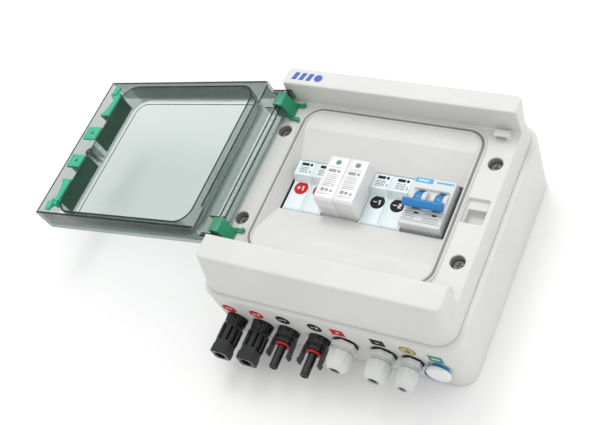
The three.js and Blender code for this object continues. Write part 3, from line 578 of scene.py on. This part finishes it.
def enclosure():
    moulding("front_cover", 0.6, 3, 0.25)
    moulding("base_shell", 0.9, 3, 0.3)
    for side, x in (("left", -SCREW_X), ("right", SCREW_X)):
        for end, y in (("lower", -SCREW_Y), ("upper", SCREW_Y)):
            refine(f"cover_screw_{end}_{side}", 0.2, look=SCREW_GREY_AND_SHADE)
            # painted shade: a dark sleeve in each screw recess
            screw_recess_shade(f"screw_recess_shade_{end}_{side}", x, y)
    paint("window_seal", SEAL)
    hidden = ("fuse_link", "rail_", "din_", "busbar", "earth", "cover_gasket", "pv_socket_nut", "pv_plug_nut")
    for node in frame["nodes"]:
        if node.startswith(hidden):
            paint(node)


def maker_mark():
    """A plain mark on the top brow: three slanted bars and a disc."""
    low, high = 84.4, 92.4
    width, slant, pitch, first = 4.4, 2.2, 7.0, -99.0
    outlines = []
    for i in range(3):
        start = first + pitch * i
        outlines.append([
            (start, low), (start + width, low), (start + width + slant, high), (start + slant, high),
        ])
    outlines.append(disc(3.9, 30, -73.4, (low + high) / 2))
    prints("maker_mark", outlines, on_top(BROW_TOP), MARK_INK, "enclosure", 0.0, 0.08)


enclosure()
maker_mark()


# ------------------------------------------------------------------ door
def door():
    """The door's skin, with painted shade: darker copies of the smoke plastic along its walls and sides, and
    a nearly black one on the edges that light leaves by.
    """
    piece = refine("door", 0.55, 2)
    mesh = piece.data
    for look in (SMOKE_WALL_SHADE, SMOKE_EDGE_SHADE, SMOKE_SIDE_SHADE):
        mesh.materials.append(look)
    panel, wall, edge, side = range(4)
    shut = Matrix.Rotation(OPEN, 3, "Y")
    hinge = Vector((HINGE_X, 0, HINGE_Z)) * MM
    rim_height = 14
    largest_rim_face = 2500e-6
    # painted shade: rim, side and wall faces get the darker copies, the panel keeps the plain tint
    for face in mesh.polygons:
        looks_to = shut @ face.normal
        spot = shut @ (face.center - hinge)
        height = spot.z / MM + HINGE_Z - FACE
        if looks_to.z < -0.9 and height < rim_height and face.area < largest_rim_face:
            face.material_index = edge
        elif abs(looks_to.y) > 0.8 and abs(spot.y) > 70 * MM:
            face.material_index = side
        elif abs(looks_to.z) < 0.5:
            face.material_index = wall
        else:
            face.material_index = panel
    # painted shade: the bevels take the nearly black edge copy
    for modifier in piece.modifiers:
        modifier.material = edge


def panel_line():
    """The moulded step that runs round the inside of the clear panel, drawn in the nearly black edge copy of
    the smoke plastic as a painted dark line.
    """
    work = bmesh.new()
    carry = on_closed_door(PANEL_INSIDE)
    outer = patch(78.4, 69.4, 12)
    inner = patch(77.8, 68.8, 11.4)
    depth = -0.35
    loops = [
        [work.verts.new(Vector(carry(a, b, h)) * MM) for a, b in points]
        for points, h in ((outer, depth), (inner, depth), (inner, 0.0), (outer, 0.0))
    ]
    join_loops(work, loops)
    place("door_panel_line", close(work, "panel_line"), SMOKE_EDGE_SHADE, BODY_OF["door"])


def latch(node):
    """A latch, with painted shade on its broad walls: a darker green stands in for the shade of the smoke
    plastic.
    """
    mesh = refine(node, 0.4, look=LIGHT_GREEN).data
    mesh.materials.append(LATCH_SHADE_GREEN)
    # painted shade: the broad walls take the darker green
    for face in mesh.polygons:
        if abs(face.normal.z) < 0.5 and face.area > LATCH_SHADED_WALL_AREA:
            face.material_index = 1


door()
panel_line()
for end in ("upper", "lower"):
    refine("hinge_clip_" + end, 0.4)
    latch("latch_" + end)


# ------------------------------------------------------------------ devices
def fuse_holder(name, slot, pole, figure):
    drawer = "fuse_drawer_" + name
    plain("fuse_base_" + name)
    refine(drawer, 0.5, 3)
    body = BODY_OF[drawer]
    mid = ROW_LEFT + MODULE * (slot + 0.5)
    small_print = dashes(random.Random(slot), mid - 5.2, mid + 3.2, [14.6, 13.0, 11.4, 9.8], 0.7)
    small_print.append(bar(mid + 4.6, mid + 5.4, 9.4, 12.6))
    prints("fuse_print_" + name, small_print, on_top(LABEL_FACE), DARK_INK, body)
    mark = [bar(mid - 5.2, mid + 1.6, 16.6, 19.4), disc(1.4, 16, mid + 3.9, 18.0)]
    prints("fuse_mark_" + name, mark, on_top(LABEL_FACE), INK, body)
    label_y = -2.0
    ink = RED_INK if pole == "+" else INK
    prints("fuse_disc_" + name, [disc(6.4, 36, mid, label_y)], on_top(DRAWER_FACE), ink, body)
    signs = sign(pole, 3.4, mid - 2.3, label_y) + sign(figure, 4.4, mid + 2.0, label_y)
    prints("fuse_sign_" + name, signs, on_top(DRAWER_FACE), PAPER, body, 0.1, 0.16)


def surge_module(pole, slot, seed):
    module = "surge_module_" + pole
    refine(module, 0.8, 3)
    body = BODY_OF[module]
    mid = ROW_LEFT + MODULE * (slot + 0.5)
    rng = random.Random(seed)
    front = on_top(SURGE_FACE)
    text = dashes(rng, mid - 5.5, mid + 5.0, [10.4, 3.0, 1.2, -0.6, -2.4, -4.2], 0.5)
    text += dashes(rng, mid - 5.4, mid + 5.4, [-6.2, -8.0], 0.7)
    text += dashes(rng, mid - 6, mid + 5.6, [-16.2], 0.5)
    text += [
        patch(1.5, 1.5, 0.4, mid - 3.6, -12.2),
        patch(1.5, 1.5, 1.4, mid + 0.2, -12.2),
        [(mid + 2.8, -13.7), (mid + 6.0, -13.7), (mid + 4.4, -10.8)],
    ]
    prints("surge_print_" + pole, text, front, GREY_INK, body)
    mark = [bar(mid - 5.4, mid + 1.4, 5.4, 8.2), disc(1.4, 16, mid + 3.9, 6.8)]
    prints("surge_mark_" + pole, mark, front, GREY_INK, body)
    window_y = 15.5
    prints("surge_window_" + pole, [disc(2.9, 24, mid, window_y)], on_top(90.42), GREY_INK, body)
    flag = [patch(1.9, 1.2, 0.5, mid, window_y)]
    prints("surge_flag_" + pole, flag, on_top(90.5), GREEN_INK, body, 0.02, 0.08)
    ribs = [bar(mid - 6.4 + 2.9 * k, mid - 5.4 + 2.9 * k, 66, 78) for k in range(5)]
    prints("surge_ribs_" + pole, ribs, lambda a, b, h: (a, -21.6 - h, b), WHITE, body, 0.0, 0.35)


def breaker():
    moulding("breaker_case", 0.45, 1, 0.3)
    refine("breaker_toggle", 0.5, 3)
    left = ROW_LEFT + 6 * MODULE
    band_y = 21.2
    front = on_top(BREAKER_FACE)
    prints("breaker_band", [patch(7.6, 2.3, 0.5, left + 8.4, band_y)], front, CYAN, "enclosure")
    prints("breaker_bar", [patch(7.4, 0.8, 0.4, left + 26.6, band_y)], front, CYAN, "enclosure")
    mark = [bar(left + 3.6 + 2.3 * i, left + 5.1 + 2.3 * i, 20.3, 22.1) for i in range(4)]
    prints("breaker_mark", mark, front, PAPER, "enclosure", 0.1, 0.16)
    rng = random.Random(7)
    text = dashes(rng, left + 1.6, left + 12, [-9.0, -11.2, -13.4, -15.6], 0.5)
    text += dashes(rng, left + 19, left + 33, [-9.0, -13.4, -15.6], 0.5)
    text += [bar(left + 1.4, left + 34.4, -17.6, -17.3), bar(left + 1.4, left + 34.4, -6.9, -6.6)]
    prints("breaker_print", text, front, DARK_INK, "enclosure")
    lamps = [bar(left + x, left + x + 4.0, -10.4, -9.0) for x in (10.4, 25.6)]
    prints("breaker_lamps", lamps, front, INK, "enclosure")


fuse_holder("positive_1", 0, "+", "1")
fuse_holder("positive_2", 1, "+", "2")
plain("surge_base")
surge_module("positive", 2, 20)
surge_module("negative", 3, 21)
fuse_holder("negative_1", 4, "-", "1")
fuse_holder("negative_2", 5, "-", "2")
breaker()


# ------------------------------------------------------------------ solar connectors
def pv_socket(node, x):
    """A panel socket: fluted collar, body with slotted faces, notched end block, open mouth."""
    work = bmesh.new()
    flat = grooved(7.5, 0.0, 9.4)
    slots = grooved(7.5, 1.9, 9.4)
    notch = grooved(7.5, 0.0, 9.4, 5.9)
    end = grooved(7.7, 0.0, 9.7)
    rows = [
        (-0.3, ring(9.6)), (-1.2, ring(9.6)), (-1.3, fluted(9.6, 0.7, 12)), (-7.4, fluted(9.0, 0.7, 12)),
        (-7.6, ring(8.2)), (-9.4, ring(8.2)), (-9.6, flat), (-11.4, flat), (-11.6, slots), (-24.4, slots),
        (-24.6, notch), (-29.6, notch), (-29.8, end), (-36.4, end), (-36.9, grooved(7.2, 0.0, 9.0)),
        (-36.9, ring(5.4)), (-36.2, ring(4.7)), (-14.0, ring(4.4)), (-14.2, ring(2.2)), (12.0, ring(2.2)),
        (12.0, ring(6.0)), (-0.3, ring(6.0)),
    ]
    sleeve(work, (x, PV_Z), rows)
    stand_in(node, close(work, node, 30), BLACK)


def pv_plug(node, x):
    """A panel plug: fluted collar, a hooked arm at each side and the pin's tube."""
    work = bmesh.new()
    rows = [
        (-0.3, ring(9.8)), (-1.2, ring(9.8)), (-1.3, fluted(9.8, 0.7, 12)), (-7.6, fluted(8.6, 0.7, 12)),
        (-7.8, ring(7.6)), (-9.4, ring(7.6)), (-9.5, fluted(7.4, 0.5, 10)), (-12.5, fluted(7.0, 0.5, 10)),
        (-12.6, ring(3.8)), (-34.4, ring(3.7)), (-35.0, ring(3.3)), (-35.0, ring(2.1)), (12.0, ring(2.1)),
        (12.0, ring(6.0)), (-0.3, ring(6.0)),
    ]
    sleeve(work, (x, PV_Z), rows)
    hook = [
        (5.8, -4.5), (9.0, -5.0), (9.9, -12.0), (10.0, -20.6), (11.0, -21.6), (10.2, -25.0), (8.6, -25.0),
        (8.2, -20.0), (8.2, -12.6), (5.8, -10.6),
    ]
    for side in (-1, 1):
        slab(work, [(x + side * a, SEAT + b) for a, b in hook], on_top(PV_Z), -3.2, 3.2)
    stand_in(node, close(work, node, 30), BLACK)


for number, (socket_x, plug_x) in enumerate(((-89.0, -38.5), (-63.5, -9.5)), 1):
    pv_socket(f"pv_socket_{number}", socket_x)
    pv_plug(f"pv_plug_{number}", plug_x)
    refine(f"pv_ring_{number}", 0.15, 2)


# ------------------------------------------------------------------ glands and vent
def from_wall(rows):
    """Profile points given from the wall's flat seats, moved to where the seats are."""
    return [(radius, SEAT + y, flat) for radius, y, flat in rows]


def gland(number, x, hexagon, neck, nut, bore, thread):
    """A cable gland. The sizes are radii: of its hexagon, ribbed neck, domed nut, bore and thread."""
    axis = (x, GLAND_Z)
    lock = thread + 2.6  # the lock nut inside the box
    body_rows = [
        (thread, 13.2, 0), (thread, 7.7, 0), (lock - 0.4, 7.5, 1), (lock, 7.0, 1),
        (lock, 4.2, 1), (lock - 0.4, 3.7, 1), (thread, 3.5, 0), (thread, -2.1, 0),
        (hexagon - 0.6, -1.5, 1), (hexagon, -1.9, 1), (hexagon, -5.2, 1), (hexagon - 0.6, -5.7, 1),
        (neck + 0.3, -5.8, 0), (neck + 0.3, -6.6, 0), (neck - 0.4, -6.8, 0), (neck - 0.4, -7.4, 0),
        (neck + 0.9, -7.6, 0), (neck + 0.9, -8.6, 0), (neck - 0.1, -8.8, 0),
        (neck, -16.0, 0), (bore + 1.4, -16.2, 0), (bore + 1.4, 13.2, 0),
    ]
    stand_in(f"gland_body_{number}", turned(axis, from_wall(body_rows), 48, 6), GLAND)
    nut_rows = [
        (neck + 0.9, -9.4, 0), (nut - 0.5, -9.4, 0.8), (nut, -10.0, 1), (nut, -17.6, 1),
        (nut - 0.5, -19.8, 0.9), (nut - 1.8, -22.4, 0.5), (nut - 3.8, -24.4, 0.2), (nut - 5.6, -25.3, 0),
        (bore + 0.7, -25.5, 0), (bore + 0.35, -25.1, 0), (bore + 0.35, -18.9, 0), (neck + 0.9, -18.9, 0),
    ]
    stand_in(f"gland_nut_{number}", turned(axis, from_wall(nut_rows), 72, 9), GLAND)
    seal_rows = [
        (bore - 0.5, -9, 0), (bore + 1.1, -9, 0), (bore + 1.1, -17.6, 0), (bore + 0.1, -19.4, 0),
        (bore + 0.1, -23.6, 0), (bore - 0.7, -24.0, 0), (bore - 0.9, -23.4, 0),
    ]
    stand_in(f"gland_seal_{number}", turned(axis, from_wall(seal_rows), 36), RUBBER)
    washer_rows = [
        (thread + 0.3, -0.3, 0), (hexagon - 0.1, -0.3, 0), (hexagon + 0.1, -0.5, 0),
        (hexagon + 0.1, -0.9, 0), (hexagon - 0.1, -1.1, 0), (thread + 0.3, -1.1, 0),
    ]
    stand_in(f"gland_washer_{number}", turned(axis, from_wall(washer_rows), 48), RUBBER)


def vent():
    """The vent plug: a white faceted cap in front of a blue ring, whose tray shows at one side."""
    axis = (97.3, GLAND_Z)
    cap_rows = [
        (0.3, -7.3, 0), (6.6, -7.3, 0), (7.2, -7.8, 0), (8.4, -7.8, 0), (9.9, -7.0, 0.6), (10.2, -6.2, 1),
        (10.2, -4.6, 1), (9.4, -3.6, 0), (5.0, -3.4, 0), (5.0, 10.0, 0), (0.3, 10.0, 0),
    ]
    stand_in("vent_plug", turned(axis, from_wall(cap_rows), 60, 10), WHITE)
    ring_rows = [(5.4, -0.3, 0), (7.2, -0.3, 0), (7.2, -3.1, 0), (5.4, -3.1, 0)]
    tray_rows = [
        (4.6, -3.7, 0), (8.5, -3.9, 0), (8.8, -4.5, 0), (8.8, -6.3, 0), (8.5, -6.6, 0), (8.2, -6.3, 0),
        (8.2, -4.3, 0), (4.6, -4.1, 0),
    ]
    tray_axis = (axis[0] - 3.4, axis[1] - 3.4)
    work = bmesh.new()
    work.from_mesh(turned(axis, from_wall(ring_rows), 48))
    work.from_mesh(turned(tray_axis, from_wall(tray_rows), 48))
    stand_in("vent_ring", close(work, "vent_ring"), BLUE)


gland(1, 15.5, hexagon=11, neck=8.6, nut=10.788, bore=4.6, thread=8)
gland(2, 49.5, hexagon=11, neck=8.6, nut=10.788, bore=4.6, thread=8)
gland(3, 74.3, hexagon=9.2, neck=7, nut=9.114, bore=3.7, thread=6.4)
vent()


# ------------------------------------------------------------------ labels on the lower wall
def pole_label(name, x, z, ink, marks):
    """A round label with a sign and a figure, or a square one with a sign alone."""
    if len(marks) == 2:
        outline = [(a * 0.95, b) for a, b in disc(6.8, 32)]
        offsets = (-1.82, 1.96)
    else:
        outline = patch(6.0, 5.2, 0.4)
        offsets = (0,)
    prints("label_" + name, [outline], on_wall(x, z), ink, "enclosure", 0.02, 0.12)
    strokes = [points for kind, dx in zip(marks, offsets) for points in sign(kind, 3.5, dx)]
    prints("label_sign_" + name, strokes, on_wall(x, z), PAPER, "enclosure", 0.12, 0.18)


def earth_label(x, z):
    here = on_wall(x, z)
    prints("label_earth_rim", [disc(6.7, 32)], here, INK, "enclosure", 0.02, 0.1)
    prints("label_earth", [disc(5.9, 32)], here, YELLOW, "enclosure", 0.1, 0.16)
    stem = bar(-0.35, 0.35, -0.2, 3.6)
    plates = [bar(-2.9 + i, 2.9 - i, -0.9 - 1.4 * i, -0.2 - 1.4 * i) for i in range(3)]
    prints("label_earth_sign", [stem, *plates], here, INK, "enclosure", 0.16, 0.22)


pole_label("red_disc_1", -89.6, 45.0, RED_INK, "+1")
pole_label("red_disc_2", -62.2, 47.0, RED_INK, "+2")
pole_label("black_disc_1", -35.9, 49.6, INK, "-1")
pole_label("black_disc_2", -6.3, 50.6, INK, "-2")
pole_label("red_plate", 14.9, 52.3, RED_INK, "+")
pole_label("black_plate", 49.8, 52.5, INK, "-")
earth_label(74.9, 51.6)
prints("label_green", [patch(6.0, 5.4, 0.4)], on_wall(97.4, 48.8), GREEN_INK, "enclosure", 0.02, 0.12)
prints("label_green_bar", [bar(-3.4, 3.4, -0.8, 0.8)], on_wall(97.4, 48.6), PAPER, "enclosure", 0.12, 0.18)
